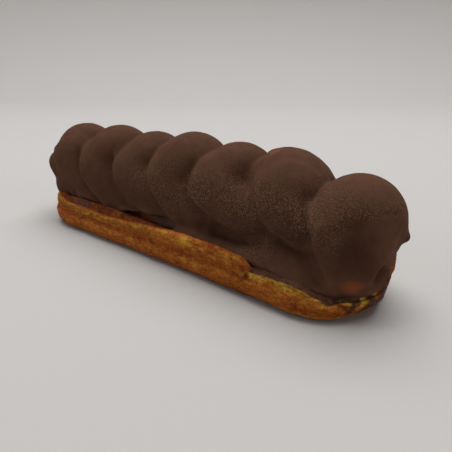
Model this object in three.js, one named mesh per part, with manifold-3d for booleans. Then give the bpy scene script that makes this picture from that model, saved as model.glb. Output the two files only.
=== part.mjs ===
// Chocolate-dipped eclair: a long choux base with a ridge along its side, and the rope-piped
// topping that stands on it. Millimetres, +Z up, +X along the length towards the end dome.

import * as THREE from 'three';
import { mergeVertices } from 'three/addons/utils/BufferGeometryUtils.js';
import Module from 'manifold-3d';

const wasm = await Module();
wasm.setup();

// Choux base
const BASE_LENGTH = 143;
const BASE_WIDTH = 41.5;
const BASE_BOW = 1.2; // how far both ends lie in front of the middle
const BASE_SKEW = 0.6; // how much further the far end does
const BASE_STEPS = 120; // facets round the outline

// Sections of the base, from the rim of its underside to the flat under the topping. Each row is how
// far in from the outline it lies, and its height. The first has a ridge along its upper edge, the
// second has none.
const RIDGED_SECTION = [
  [3.2, 0], [1.3, 0.8], [0.5, 2.3], [0.2, 4.0], [0.4, 5.4], [1.2, 6.8],
  [0.9, 8.0], [0.4, 9.4], [0.7, 10.8], [1.5, 11.8], [2.9, 11.6], [4.8, 10.4], [9, 9.8],
];
const DIPPED_SECTION = [
  [3.2, 0], [1.5, 0.8], [0.5, 2.3], [0, 4.0], [-0.1, 5.5], [0.1, 7.0],
  [0.4, 8.3], [0.7, 9.3], [1.2, 10.0], [1.8, 10.6], [2.6, 10.9], [4.8, 10.5], [9, 9.8],
];
const CREST_ROW = 8.2; // where the ridge's crest lies among the rows of the first section
const RIDGE_HALF = 3; // and how many rows the ridge reaches either way

// Places round the outline are arcs from its near tip, negative along the near side. The ridge is
// missing from a stretch of the near side, where the upper rows sink towards the near tip.
const DIP = { start: -46.4, length: 2.6, lowNose: 4.5, highNose: 3, end: [-3, 4.5] };
const SINK = {
  rows: [4.2, 7.4, 10.8, 12], tip: 2.7, tipSpan: [-32, -18], ridge: 0.5, ridgeSpan: [-46, -38],
};
const RIDGE_HEIGHTS = [6.8, 10.8]; // from the groove under the ridge to its crest
// How much the ridge's crest, and the ledge inside it, lie above the section: arc and height
const CREST_LIFT = [
  [-160, 0], [-146, -0.2], [-133, -0.9], [-124, -1.4], [-114, -1.9], [-103, -1.1], [-92, -0.3],
  [-86, 0.1], [-78, 1.0], [-70, 1.3], [-58, 1.3], [-51, 0.9], [-44, -0.5], [-2, 1.3], [2, 5.5],
  [14, 5.5], [30, 1.3], [80, 1.3], [110, 0],
];
const LEDGE_LIFT = [
  [-160, 1.1], [-142, 1.2], [-132, 1.9], [-114, 1.9], [-108, 1.8], [-100, 1.5], [-84, 0.9],
  [-76, 0.8], [-68, 0], [82, 0], [100, 1.1],
];
const LEDGE_ROWS = [9, 10.6, 11.2, 12]; // rows where the ledge begins, is whole, is still and ends
// The near tip is undercut
const HEEL = { undercut: 2.3, middle: -2, heights: [-1, 9], span: [8, 23] };

// Topping. Each strand crosses over the top and comes down both sides, where it bulges, then runs on
// as a tail under its neighbour. The balls that make it up have a radius, a place out from the
// middle line and a height; back is how far the front of the strand leans back.
const STRANDS = [
  { x: -61.3, height: 38.8, radius: 12.8, back: -2.2, run: 20, belly: 24, hip: 18.5, tail: 15 },
  { x: -40, height: 40.2, radius: 13.2, back: 2.2, run: 15, belly: 22.5, hip: 16.8, tail: 13.8 },
  { x: -20.2, height: 40, radius: 12.4, back: 2.4, run: 16, belly: 23, hip: 19.6, tail: 17.6 },
  { x: -1, height: 42, radius: 13.3, back: 2.6, run: 18, belly: 23.5, hip: 18, tail: 15.5 },
  { x: 19, height: 41.1, radius: 13.2, back: 2.4, run: 17, belly: 26, hip: 22.8, tail: 20.8 },
  { x: 38, height: 41.9, radius: 13.2, back: -2.4, run: 14, belly: 28, hip: 26, tail: 24 },
];
const BROW = { out: 1.8, rearOut: 0.6, drop: 2.5, slimming: 0.99 };
const BELLY = { backShare: 0.9, out: 3.8, radius: 12.2 };
const HIP = { runShare: 0.42, out: 8.2, radius: 8.4 };
const TAIL = { out: 10.8, radius: 4.8, rearRun: 0.5 };
const CREASE_FILLET = 1.2;

// The other ropes of balls: x, y, height and radius of each
const END_DOME = [
  [57.2, 8.5, 15, 7.2], [59.7, 4.5, 19.2, 11.2], [60.9, 0, 25.2, 12.9], [60.4, -3.6, 22.2, 12.8],
  [61.6, -4.8, 16, 10.9], [63, -5.4, 12, 8.2],
];
const END_HEEL = [[60.2, 0, 25.2, 11.5], [61.2, 1, 12, 9.5]];
const START_BUMP = [
  [-56, 6, 11, 8], [-62, 0, 15.5, 7.4], [-69.4, -7.6, 22.6, 5.6], [-65.4, -8.3, 17.4, 5.4],
  [-62.3, -9.9, 14, 5.9], [-56, -10.2, 14.2, 5.4], [-50, -10.4, 14.6, 4.6],
];
const TOP_LUMP = [[32.6, 1, 36.8, 4.2], [37, 0.5, 37.5, 4.2]];
const TOE = [
  [57.4, -13.4, 13.4, 2], [59.8, -13.6, 11, 2.3], [63, -12, 10.2, 2.4], [66.8, -8.8, 9.9, 2.3],
  [68.6, -4.2, 10.4, 2.2], [68.9, 0.4, 11.8, 1.8],
];
const FLUTE = [[68.4, 0, 22, 2.6], [68.7, 1.6, 16.5, 2], [68.8, 2, 11.6, 1.8]];
const DRIP = [[68.7, 2, 25.5, 3.5], [72.8, 3.1, 22.2, 1.6]];

// The dipped shoulder under the near strands, and the hidden core that carries them all. The
// shoulder's slope changes twice along it, between the given places, and its start leans back at
// the rear.
const SHOULDER = {
  from: 4, startSlope: 0.45, rearLean: 0.45, top: 22, inset: 1.6, tuck: 0.5, rounding: 3,
  slopes: [1.25, 0.66, 1.6], swell: [22, 46], fade: [56, 68], fillet: 1.2,
};
const SHOULDER_EDGE = { high: 12.2, low: 8.2, span: [36, 68] };
const CORE = { inset: 9, bottom: 7, top: 24, rounding: 4, fillet: 2 };

// Skin of the topping: rings along a spine, pushed out to the topping's surface
const SPINE = { half: 58, height: 24 };
const SKIN = { around: 42, along: 58, cap: 9, reach: 30 };
const GAP = 0.3; // between the topping and the base it rests on

const { clamp, euclideanModulo, lerp, smoothstep } = THREE.MathUtils;

const RADIUS = BASE_WIDTH / 2;
const HALF_STRAIGHT = BASE_LENGTH / 2 - RADIUS;
const PERIMETER = 4 * HALF_STRAIGHT + 2 * Math.PI * RADIUS;

// The base's middle line bows a little across its length.
function bow(x) {
  const t = x / (BASE_LENGTH / 2);
  return -BASE_BOW * (t * t - 1 / 3) + BASE_SKEW * t ** 3;
}

// A point on the base's outline, at an arc from the near tip, moved in by an inset.
function outlinePoint(arc, inset) {
  const lengths = [2 * HALF_STRAIGHT, Math.PI * RADIUS, 2 * HALF_STRAIGHT, Math.PI * RADIUS];
  let along = euclideanModulo(arc + 2 * HALF_STRAIGHT + (Math.PI * RADIUS) / 2, PERIMETER);
  let stretch = 0;
  while (stretch < 3 && along > lengths[stretch]) along -= lengths[stretch++];
  const side = stretch < 2 ? 1 : -1;
  const angle = stretch % 2 ? along / RADIUS - Math.PI / 2 : -Math.PI / 2;
  const x = stretch % 2 ? HALF_STRAIGHT : along - HALF_STRAIGHT;
  const depth = RADIUS - inset;
  return new THREE.Vector2(side * (x + depth * Math.cos(angle)), side * depth * Math.sin(angle));
}

// A lift at a place round the outline, eased between knots of arcs and heights.
function liftAt(arc, knots) {
  const [firstArc, firstLift] = knots[0];
  const round = [...knots, [firstArc + PERIMETER, firstLift]];
  const place = firstArc + euclideanModulo(arc - firstArc, PERIMETER);
  const next = Math.max(round.findIndex(([knotArc]) => knotArc > place), 1);
  const [fromArc, fromLift] = round[next - 1];
  const [toArc, toLift] = round[next];
  return lerp(fromLift, toLift, smoothstep(place, fromArc, toArc));
}

// A geometry with nothing but its places, each of them kept once.
function mergedShape(geometry) {
  const bare = new THREE.BufferGeometry();
  bare.setAttribute('position', geometry.getAttribute('position'));
  bare.setIndex(geometry.getIndex());
  return mergeVertices(bare, 1e-4);
}

// Turns a closed geometry into a solid that can be joined and cut, that much larger all over.
function solidOf(geometry, allowance = 0) {
  const merged = mergedShape(geometry);
  merged.computeVertexNormals();
  const place = new THREE.Vector3();
  const normal = new THREE.Vector3();
  const position = merged.getAttribute('position');
  for (let i = 0; i < position.count; i++) {
    normal.fromBufferAttribute(merged.getAttribute('normal'), i);
    place.fromBufferAttribute(position, i).addScaledVector(normal, allowance);
    position.setXYZ(i, place.x, place.y, place.z);
  }
  const index = merged.getIndex().array;
  const triangles = [];
  for (let i = 0; i < index.length; i += 3) {
    const [a, b, c] = index.slice(i, i + 3);
    if (a !== b && b !== c && c !== a) triangles.push(a, b, c);
  }
  return new wasm.Manifold(new wasm.Mesh({
    numProp: 3,
    vertProperties: new Float32Array(position.array),
    triVerts: new Uint32Array(triangles),
  }));
}

function meshOf(solid, name, material) {
  const { vertProperties, triVerts } = solid.getMesh();
  const geometry = new THREE.BufferGeometry();
  geometry.setAttribute('position', new THREE.BufferAttribute(vertProperties, 3));
  geometry.setIndex(new THREE.BufferAttribute(triVerts, 1));
  geometry.computeVertexNormals();
  const mesh = new THREE.Mesh(geometry, material);
  mesh.name = name;
  return mesh;
}

// The choux base: a lathe of the section, eased out from a disc to the long bowed outline. The
// allowance makes it that much larger all over, for cutting its seat in the topping.
function chouxBase(allowance) {
  const rows = RIDGED_SECTION.length + 1;
  const profile = [new THREE.Vector2(0, 0)];
  RIDGED_SECTION.forEach(([inset], row) => profile.push(new THREE.Vector2(RADIUS - inset, row + 1)));
  profile.push(new THREE.Vector2(0, rows));
  const lathe = new THREE.LatheGeometry(profile, BASE_STEPS);
  const position = lathe.getAttribute('position');
  for (let i = 0; i < position.count; i++) {
    const step = Math.floor(i / profile.length) % BASE_STEPS;
    const row = Math.round(position.getY(i)) - 1;
    const arc = (step / BASE_STEPS - 0.5) * PERIMETER;
    const point = basePoint(arc, row);
    position.setXYZ(i, point.x, point.y, point.z);
  }
  return solidOf(lathe, allowance);
}

// How far the ridge has ended at an arc: its crest reaches on beyond its lower and upper edges.
function dipShare(arc, row) {
  const offCrest = clamp((row - CREST_ROW) / RIDGE_HALF, -1, 1);
  const nose = (offCrest < 0 ? DIP.lowNose : DIP.highNose) * Math.abs(offCrest);
  const started = smoothstep(arc + nose, DIP.start, DIP.start + DIP.length);
  return started * (1 - smoothstep(arc, ...DIP.end));
}

// How much lower than its section a row lies where the ridge is missing.
function sinkOf(arc, row) {
  const [lower, from, to, upper] = SINK.rows;
  const share = smoothstep(row, lower, from) * (1 - smoothstep(row, to, upper));
  const atRidge = 1 - smoothstep(arc, ...SINK.ridgeSpan);
  return share * (SINK.tip * smoothstep(arc, ...SINK.tipSpan) + SINK.ridge * atRidge);
}

// How much higher than its section a row stands, along the ridge's crest and the ledge inside it.
function riseOf(arc, row) {
  const [ledgeStart, ledgeFrom, ledgeTo, ledgeEnd] = LEDGE_ROWS;
  const inside = 1 - smoothstep(row, ledgeStart, ledgeFrom);
  const onCrest = smoothstep(RIDGED_SECTION[row][1], ...RIDGE_HEIGHTS) * inside;
  const onLedge = (1 - inside) * (1 - smoothstep(row, ledgeTo, ledgeEnd));
  return onCrest * liftAt(arc, CREST_LIFT) + onLedge * liftAt(arc, LEDGE_LIFT);
}

function basePoint(arc, row) {
  const last = RIDGED_SECTION.length - 1;
  if (row < 0) return new THREE.Vector3(0, bow(0), 0);
  if (row > last) return new THREE.Vector3(0, bow(0), RIDGED_SECTION[last][1]);
  const dipped = dipShare(arc, row);
  const ridgedHeight = RIDGED_SECTION[row][1] + riseOf(arc, row);
  const height = lerp(ridgedHeight, DIPPED_SECTION[row][1] - sinkOf(arc, row), dipped);
  const atHeel = 1 - smoothstep(Math.abs(arc - HEEL.middle), ...HEEL.span);
  const undercut = HEEL.undercut * atHeel * (1 - smoothstep(height, ...HEEL.heights));
  const inset = lerp(RIDGED_SECTION[row][0], DIPPED_SECTION[row][0], dipped) + undercut;
  const point = outlinePoint(arc, inset);
  return new THREE.Vector3(point.x, point.y + bow(point.x), height);
}

// A strand's route, as balls from its rear tail over the crown to its front tail.
function strandBalls({ x, height, radius, back, run, belly, hip, tail }) {
  const crown = height - radius;
  const side = (sideRun, sideBack, browOut) => [
    [-sideBack, browOut, crown - BROW.drop, radius * BROW.slimming],
    [-BELLY.backShare * sideBack, BELLY.out, belly, BELLY.radius],
    [HIP.runShare * sideRun, HIP.out, hip, HIP.radius],
    [sideRun, TAIL.out, tail, TAIL.radius],
  ];
  const front = side(run, back, BROW.out).map(([along, out, z, r]) => [x + along, -out, z, r]);
  const rear = side(run * TAIL.rearRun, 0, BROW.rearOut)
    .map(([along, out, z, r]) => [x - along, out, z, r]);
  return [...rear.reverse(), [x, 0, crown, radius], ...front];
}

// A rope of balls, sampled closely along a smooth curve through them.
function ropeOf(balls) {
  const samplesPerSpan = 4;
  const curve = new THREE.CatmullRomCurve3(
    balls.map(([x, y, z]) => new THREE.Vector3(x, y + bow(x), z)), false, 'catmullrom', 0.5);
  const count = (balls.length - 1) * samplesPerSpan;
  return Array.from({ length: count + 1 }, (_, i) => {
    const span = Math.min(Math.floor(i / samplesPerSpan), balls.length - 2);
    const radius = lerp(balls[span][3], balls[span + 1][3], i / samplesPerSpan - span);
    return { centre: curve.getPoint(i / count), radius };
  });
}

// Signed distance to a rope, from the tapered capsules between its samples.
function ropeDistance(rope, point) {
  const along = new THREE.Vector3();
  const away = new THREE.Vector3();
  let nearest = Infinity;
  for (let i = 1; i < rope.length; i++) {
    along.subVectors(rope[i].centre, rope[i - 1].centre);
    away.subVectors(point, rope[i - 1].centre);
    const t = clamp(away.dot(along) / Math.max(along.lengthSq(), 1e-6), 0, 1);
    const radius = lerp(rope[i - 1].radius, rope[i].radius, t);
    nearest = Math.min(nearest, away.addScaledVector(along, -t).length() - radius);
  }
  return nearest;
}

// Union of two distances with a fillet of the given size where they meet.
function blend(a, b, fillet) {
  const overlap = Math.max(fillet - Math.abs(a - b), 0) / fillet;
  return Math.min(a, b) - (overlap * overlap * fillet) / 4;
}

// How far a point is outside the base's outline, seen from above.
function outlineDistance(point) {
  const beyond = Math.max(Math.abs(point.x) - HALF_STRAIGHT, 0);
  return Math.hypot(beyond, point.y - bow(point.x)) - RADIUS;
}

function shoulderDistance(point) {
  const { from, startSlope, rearLean, top, inset, slopes, swell, fade, tuck, rounding } = SHOULDER;
  const edge = lerp(SHOULDER_EDGE.high, SHOULDER_EDGE.low, smoothstep(point.x, ...SHOULDER_EDGE.span));
  const rise = point.z - edge;
  const [startLean, middleLean, endLean] = slopes;
  const swollen = lerp(startLean, middleLean, smoothstep(point.x, ...swell));
  const slope = lerp(swollen, endLean, smoothstep(point.x, ...fade));
  const lean = slope * Math.max(rise, 0) - tuck * Math.min(rise, 0);
  const side = outlineDistance(point) + inset + lean;
  const start = startSlope * (from - point.x) + rearLean * Math.max(point.y, 0);
  return Math.max(-blend(-side, top - point.z, rounding), CORE.bottom - point.z, start);
}

function coreDistance(point) {
  const side = outlineDistance(point) + CORE.inset;
  return Math.max(-blend(-side, CORE.top - point.z, CORE.rounding), CORE.bottom - point.z);
}

const strandRopes = STRANDS.map(strand => ropeOf(strandBalls(strand)));
const otherRopes = [END_DOME, END_HEEL, START_BUMP, TOP_LUMP, TOE, FLUTE, DRIP].map(ropeOf);

function toppingDistance(point) {
  const distances = [...strandRopes, ...otherRopes].map(rope => ropeDistance(rope, point));
  const piped = distances.reduce((sum, distance) => blend(sum, distance, CREASE_FILLET));
  return blend(blend(piped, coreDistance(point), CORE.fillet), shoulderDistance(point), SHOULDER.fillet);
}

// The topping's skin: each point of a capsule round the spine slides in along its own ray until it
// meets the topping.
function toppingSkin() {
  const capsule = new THREE.CapsuleGeometry(1, 2 * SPINE.half, SKIN.cap, SKIN.around, SKIN.along);
  capsule.rotateZ(-Math.PI / 2);
  const position = capsule.getAttribute('position');
  const point = new THREE.Vector3();
  for (let i = 0; i < position.count; i++) {
    const x = clamp(position.getX(i), -SPINE.half, SPINE.half);
    const ray = new THREE.Vector3(position.getX(i) - x, position.getY(i), position.getZ(i)).normalize();
    const foot = new THREE.Vector3(x, bow(x), SPINE.height);
    const distance = reachAlong(reach => toppingDistance(point.copy(foot).addScaledVector(ray, reach)));
    point.copy(foot).addScaledVector(ray, distance);
    position.setXYZ(i, point.x, point.y, point.z);
  }
  return solidOf(capsule);
}

// Outermost place along a ray where the distance turns negative.
function reachAlong(distanceAt) {
  const coarseStep = 0.75;
  const halvings = 12;
  let outside = SKIN.reach;
  while (outside > coarseStep && distanceAt(outside - coarseStep) > 0) outside -= coarseStep;
  let inside = Math.max(outside - coarseStep, 0);
  for (let i = 0; i < halvings; i++) {
    const middle = (inside + outside) / 2;
    if (distanceAt(middle) > 0) outside = middle;
    else inside = middle;
  }
  return inside;
}

const chouxMaterial = new THREE.MeshStandardMaterial({ color: 0xb97a3a, roughness: 0.75, metalness: 0 });
const chocolateMaterial = new THREE.MeshStandardMaterial({ color: 0x4a3228, roughness: 0.5, metalness: 0 });

const group = new THREE.Group();
group.add(meshOf(chouxBase(0), 'choux_base', chouxMaterial));
group.add(meshOf(toppingSkin().subtract(chouxBase(GAP)), 'piped_topping', chocolateMaterial));

// The origin lies under the middle of the whole eclair.
const bounds = new THREE.Box3().setFromObject(group);
const centre = bounds.getCenter(new THREE.Vector3());
group.position.set(-centre.x, -centre.y, -bounds.min.z);

export default group;
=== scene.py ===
"""The looks of a chocolate-dipped eclair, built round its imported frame.

The shapes are worked out in millimetres, in a frame whose middle is the middle of the pastry, and
mesh_piece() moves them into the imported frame. +X runs along the eclair towards the end dome, -Y is
the near side and +Z is up. The topping is a field, the distance to a union of piped ropes, a core
and a dipped shoulder. The pastry is a section swept round an outline, with baked relief on it.
"""
import math

import bpy
import numpy as np
import openvdb
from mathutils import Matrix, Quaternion, Vector


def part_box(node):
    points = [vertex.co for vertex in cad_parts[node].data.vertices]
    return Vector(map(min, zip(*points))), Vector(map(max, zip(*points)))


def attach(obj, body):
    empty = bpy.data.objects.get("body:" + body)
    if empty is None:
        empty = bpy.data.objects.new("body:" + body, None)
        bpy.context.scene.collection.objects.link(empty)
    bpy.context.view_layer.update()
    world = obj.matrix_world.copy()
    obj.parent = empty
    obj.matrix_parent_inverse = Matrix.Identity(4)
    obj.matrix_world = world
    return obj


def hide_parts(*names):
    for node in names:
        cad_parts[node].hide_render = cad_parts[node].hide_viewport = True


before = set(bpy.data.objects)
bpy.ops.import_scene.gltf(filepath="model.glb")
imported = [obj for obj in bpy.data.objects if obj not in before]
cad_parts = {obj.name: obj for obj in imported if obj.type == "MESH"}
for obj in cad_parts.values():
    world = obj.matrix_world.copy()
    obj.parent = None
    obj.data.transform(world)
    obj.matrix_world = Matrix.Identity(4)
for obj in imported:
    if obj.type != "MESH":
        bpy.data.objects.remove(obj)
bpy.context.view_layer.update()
base_low, base_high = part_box("choux_base")

MM = 0.001
MIDDLE_X = (base_low.x + base_high.x) / 2  # the pastry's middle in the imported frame

# Pastry, in millimetres
BASE_LENGTH = 143.0
BASE_WIDTH = 41.5
BASE_BOW = 1.2  # how far both ends lie in front of the middle
BASE_SKEW = 0.6  # how much further the far end does, and how much less the near end
RADIUS = BASE_WIDTH / 2
STRAIGHT = BASE_LENGTH - BASE_WIDTH  # each straight side of the outline
PERIMETER = 2 * STRAIGHT + 2 * math.pi * RADIUS
RIDGE_HEIGHTS = (6.8, 10.8)  # from the groove under the upper ridge to its crest
STEPS_AROUND = 660
STEPS_ACROSS = 112
UNDERSIDE_INSETS = np.linspace(19.2, 6.2, 13)
TOP_INSETS = np.array([12.0, 15.5, 19.2])

# Sections from the rim of the underside to the flat under the topping: inset and height. The upper
# ridge of the first is missing from the second, which runs along the near side of the dome.
RIDGED_SECTION = [
    (3.2, 0), (1.3, 0.8), (0.5, 2.3), (0.2, 4.0), (0.4, 5.4), (1.2, 6.8), (0.9, 8.0),
    (0.4, 9.4), (0.7, 10.8), (1.5, 11.8), (2.9, 11.6), (4.8, 10.4), (9, 9.8),
]
DIPPED_SECTION = [
    (3.2, 0), (1.5, 0.8), (0.5, 2.3), (0, 4.0), (-0.1, 5.5), (0.1, 7.0), (0.4, 8.3),
    (0.7, 9.3), (1.2, 10.0), (1.8, 10.6), (2.6, 10.9), (4.8, 10.5), (9, 9.8),
]
# Places across a section are counted in its knots
CREST_KNOT = 8.2  # where the ridge's crest lies along the first section
RIDGE_HALF = 3.0  # and how many of its knots the ridge reaches either way
RIDGE_TO_LEDGE = (9.4, 10.6)  # where the ridge's lift gives way to the lift of the ledge inside it
LEDGE_TO_FLAT = (11.2, 12)  # and where the ledge ends
# Places along the outline are arcs from the near tip, which fall towards the near side. The second
# section takes over at the dip's start and ends at the tip.
DIP_START = -46.4
DIP_LENGTH = 2.6
LOW_DIP_REACH = (-4, 6)  # below the ridge it takes over more gently
DIP_NOSE = (4.5, 3)  # how far the tip of the ridge reaches beyond its lower and its upper edge
DIP_END = (-3, 4.5)
# How much its upper strip is dropped: the strip's edges, and each drop and its arcs
DIP_STRIP = ((4.2, 7.4), (10.8, 12))
NOSE_DROP = 0.5
NOSE_DROP_SPAN = (-46, -38)
TIP_DROP = 2.7
TIP_DROP_SPAN = (-32, -18)
# How much the ridge's crest, and the ledge inside it, lie above the section: arcs and heights
CREST_LIFT = [
    (-160, 0), (-146, -0.2), (-133, -0.9), (-124, -1.4), (-114, -1.9), (-103, -1.1), (-92, -0.3),
    (-86, 0.1), (-78, 1.0), (-70, 1.3), (-58, 1.3), (-51, 0.9), (-44, -0.5), (-2, 1.3), (2, 5.5),
    (14, 5.5), (30, 1.3), (80, 1.3), (110, 0),
]
LEDGE_LIFT = [
    (-160, 1.1), (-142, 1.2), (-132, 1.9), (-114, 1.9), (-108, 1.8), (-100, 1.5), (-84, 0.9), (-76, 0.8),
    (-68, 0), (82, 0), (100, 1.1),
]
# The undercut at the near tip: how deep, the heights and insets where it fades, its middle and reach
HEEL_UNDERCUT = 2.3
HEEL_HEIGHTS = (-1, 9)
HEEL_INSETS = (6, 16)
HEEL_ARC = -2
HEEL_REACH = (8, 23)

# Topping. Each strand crosses over the top and comes down both sides, where it bulges back, then
# runs on as a tail under its neighbour.
STRANDS = [
    dict(x=-61.3, height=38.8, radius=12.8, back=-2.2, run=20, belly=24, hip=18.5, tail=15),
    dict(x=-40, height=40.2, radius=13.2, back=2.2, run=15, belly=22.5, hip=16.8, tail=13.8),
    dict(x=-20.2, height=40, radius=12.4, back=2.4, run=16, belly=23, hip=19.6, tail=17.6),
    dict(x=-1, height=42, radius=13.3, back=2.6, run=18, belly=23.5, hip=18, tail=15.5),
    dict(x=19, height=41.1, radius=13.2, back=2.4, run=17, belly=26, hip=22.8, tail=20.8),
    dict(x=38, height=41.9, radius=13.2, back=-2.4, run=14, belly=28, hip=26, tail=24),
]
BROW = dict(out=1.8, rear_out=0.6, drop=2.5, slimming=0.99)
BELLY = dict(back_share=0.9, out=3.8, radius=12.2)
HIP = dict(run_share=0.42, out=8.2, radius=8.4)
TAIL = dict(out=10.8, radius=4.8, rear_run=0.5)
CREASE_FILLET = 1.2

# The other ropes of balls: x, y, height and radius of each
END_DOME = [
    (57.2, 8.5, 15, 7.2), (59.7, 4.5, 19.2, 11.2), (60.9, 0, 25.2, 12.9), (60.4, -3.6, 22.2, 12.8),
    (61.6, -4.8, 16, 10.9), (63, -5.4, 12, 8.2),
]
END_HEEL = [(60.2, 0, 25.2, 11.5), (61.2, 1, 12, 9.5)]
START_BUMP = [
    (-56, 6, 11, 8), (-62, 0, 15.5, 7.4), (-69.4, -7.6, 22.6, 5.6), (-65.4, -8.3, 17.4, 5.4),
    (-62.3, -9.9, 14, 5.9), (-56, -10.2, 14.2, 5.4), (-50, -10.4, 14.6, 4.6),
]
TOP_LUMP = [(32.6, 1, 36.8, 4.2), (37, 0.5, 37.5, 4.2)]
TOE = [
    (57.4, -13.4, 13.4, 2), (59.8, -13.6, 11, 2.3), (63, -12, 10.2, 2.4), (66.8, -8.8, 9.9, 2.3),
    (68.6, -4.2, 10.4, 2.2), (68.9, 0.4, 11.8, 1.8),
]
FLUTE = [(68.4, 0, 22, 2.6), (68.7, 1.6, 16.5, 2), (68.8, 2, 11.6, 1.8)]
DRIP = [(68.7, 2, 25.5, 3.5), (72.8, 3.1, 22.2, 1.6)]
# The lip of the coat where it ends above the pastry, along the far half of the near side
COAT_LIP = [
    (-53, -15.6, 13.2, 1.2), (-49.6, -15.6, 13.3, 1.3), (-44.5, -15.4, 13.5, 1.3),
    (-38.9, -15.3, 13.4, 1.3), (-36, -15.2, 12.9, 1.3), (-33, -15.2, 12.1, 1.3), (-29.4, -15.1, 11.4, 1.3),
    (-26, -15, 11.6, 1.3), (-23.4, -15, 12.6, 1.3), (-20, -14.9, 14, 1.3), (-14.3, -14.9, 14.8, 1.3),
    (-8, -14.9, 15.6, 1.3), (-1.5, -14.8, 16, 1.3), (1.8, -14.8, 15.4, 1.3), (4.6, -14.8, 13.8, 1.3),
    (6.5, -14.8, 12.4, 1.3),
]
# The shoulder starts at a slant, which leans back behind, and its side slopes less from its swell
# to its fade
SHOULDER = dict(
    start=4, start_slope=0.45, rear_lean=0.45, top=22, inset=1.6, slope_start=1.25, slope=0.66,
    slope_end=1.6, swell=(22, 46), fade=(56, 68), tuck=0.5, rounding=3, fillet=1.2,
)
SHOULDER_EDGE = dict(high=12.2, low=8.2, span=(36, 68))
CORE = dict(inset=9, bottom=7, top=24, rounding=4, fillet=2)
FOOT_ROUNDING = 1.0

# Creases where one strand overlaps the last: x and height of the knots down the near side. The
# strand on the left of a crease is sunk, the one on its right stands proud.
CREASES = [
    [(-66, 29), (-62.3, 25.3), (-58, 21), (-53.5, 17.2), (-49.3, 14), (-46, 10.5)],
    [(-50.5, 38), (-52, 35), (-51.3, 30.5), (-48.5, 24.8), (-44.5, 19.8), (-38, 16.2), (-33, 12.5),
     (-30, 10)],
    [(-30.5, 38), (-32.3, 35), (-32, 30), (-26.3, 24), (-19, 18), (-13, 15.5), (-6, 13)],
    [(-11, 38), (-12.6, 34), (-11.8, 29.6), (-7.5, 24.4), (-1.4, 18), (3, 15.5), (9, 12.5)],
    [(8.5, 38), (8.5, 35), (9, 29), (12, 24), (17, 21.8), (23.5, 19.5), (30, 17.3), (37, 16.8)],
    [(28.8, 38), (31, 36), (34.6, 31.3), (38.4, 25), (41.5, 21.4), (46, 19.2), (51, 18.2), (57, 18)],
    [(49.5, 38), (49.5, 34), (52, 28.5), (55, 22), (57.4, 17.6), (59.5, 13.5), (62, 10)],
]
CREASE = dict(
    sink=0.9, sink_reach=3.2, lift=0.8, lift_reach=2.4, step=0.7, top_fade=(29, 36), tail_fade=(0.85, 1),
    rear_share=0.5, side_fade=(0, 5),
)

# Hollows and swellings: how far out, how wide, and the places they run through
FURROWS = [
    (-1.5, 4.2, [(65.4, -14.4, 26.5), (67.8, -14, 19)]),
    (0.7, 2.6, [(56.6, -15.5, 25), (59.6, -16.2, 18), (62.6, -15.2, 12)]),
    (-1.7, 1.5, [(71.7, -8.0, 15.6), (71.0, -8.4, 12.6)]),
    (0.6, 1.3, [(73, -6.6, 22.5), (71.6, -10, 18.5), (69.2, -12, 13.6)]),
    (0.6, 0.8, [(72.3, -5.4, 15.5), (71.4, -4.4, 10.6)]),
    (0.6, 0.8, [(63, -14.2, 10.4), (66.9, -11.9, 9.4), (70, -8, 9.6), (71.3, -3.5, 10)]),
    (-0.35, 0.45, [(69, -9, 30.6), (70.3, -6.9, 30.9), (71.5, -2.9, 31.6), (71.8, -0.9, 31.7)]),
    (-0.6, 3, [(26.7, -7.7, 35), (27.5, -9, 33)]),
    (-0.6, 3, [(43.2, -10.2, 37), (44, -11.4, 34)]),
    (-1.2, 2.0, [(16, -14.4, 15.5), (25.3, -14.8, 15.8), (31, -15, 16), (38, -15.2, 16.8)]),
]

VOXEL = 0.5
GRID_LOW = np.array([-80.0, -25.0, 4.0])
GRID_HIGH = np.array([79.0, 25.0, 46.0])
FAR_AWAY = 8.0


def smoothstep(value, low, high):
    share = np.clip((value - low) / (high - low), 0, 1)
    return share * share * (3 - 2 * share)


def window(value, start, end):
    """1 between two soft edges: the span where it fades in and the one where it fades out."""
    return smoothstep(value, *start) * (1 - smoothstep(value, *end))


def lerp(a, b, share):
    return a + (b - a) * share


def band(value, middle, width):
    """A soft band: 1 at its middle, fading to 0 on both sides."""
    return np.exp(-((value - middle) / width) ** 2)


def drawn_out(arc, across, along, over):
    """Points for a noise whose bumps are along by over millimetres, closed round the outline."""
    turn = arc / PERIMETER * 2 * math.pi
    reach = PERIMETER / (2 * math.pi) / along
    return np.stack([np.cos(turn) * reach, np.sin(turn) * reach, across / over], axis=-1).reshape(-1, 3)


def spot(along, height, at_along, at_height, long, tall):
    """A soft patch: 1 in its middle, fading to 0 around it."""
    return np.exp(-((along - at_along) / long) ** 2 - ((height - at_height) / tall) ** 2)


def catmull_rom(a, b, c, d, t):
    """The curve from b to c, a share t of the way along, steered by the knots before and after."""
    bend = 2 * a - 5 * b + 4 * c - d
    twist = 3 * b - a - 3 * c + d
    return 0.5 * (2 * b + (c - a) * t + bend * t ** 2 + twist * t ** 3)


def bow(x):
    """How far the base's middle line lies from straight, at a place along its length."""
    share = x / (BASE_LENGTH / 2)
    return -BASE_BOW * (share * share - 1 / 3) + BASE_SKEW * share ** 3


# ------------------------------ noise

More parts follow.
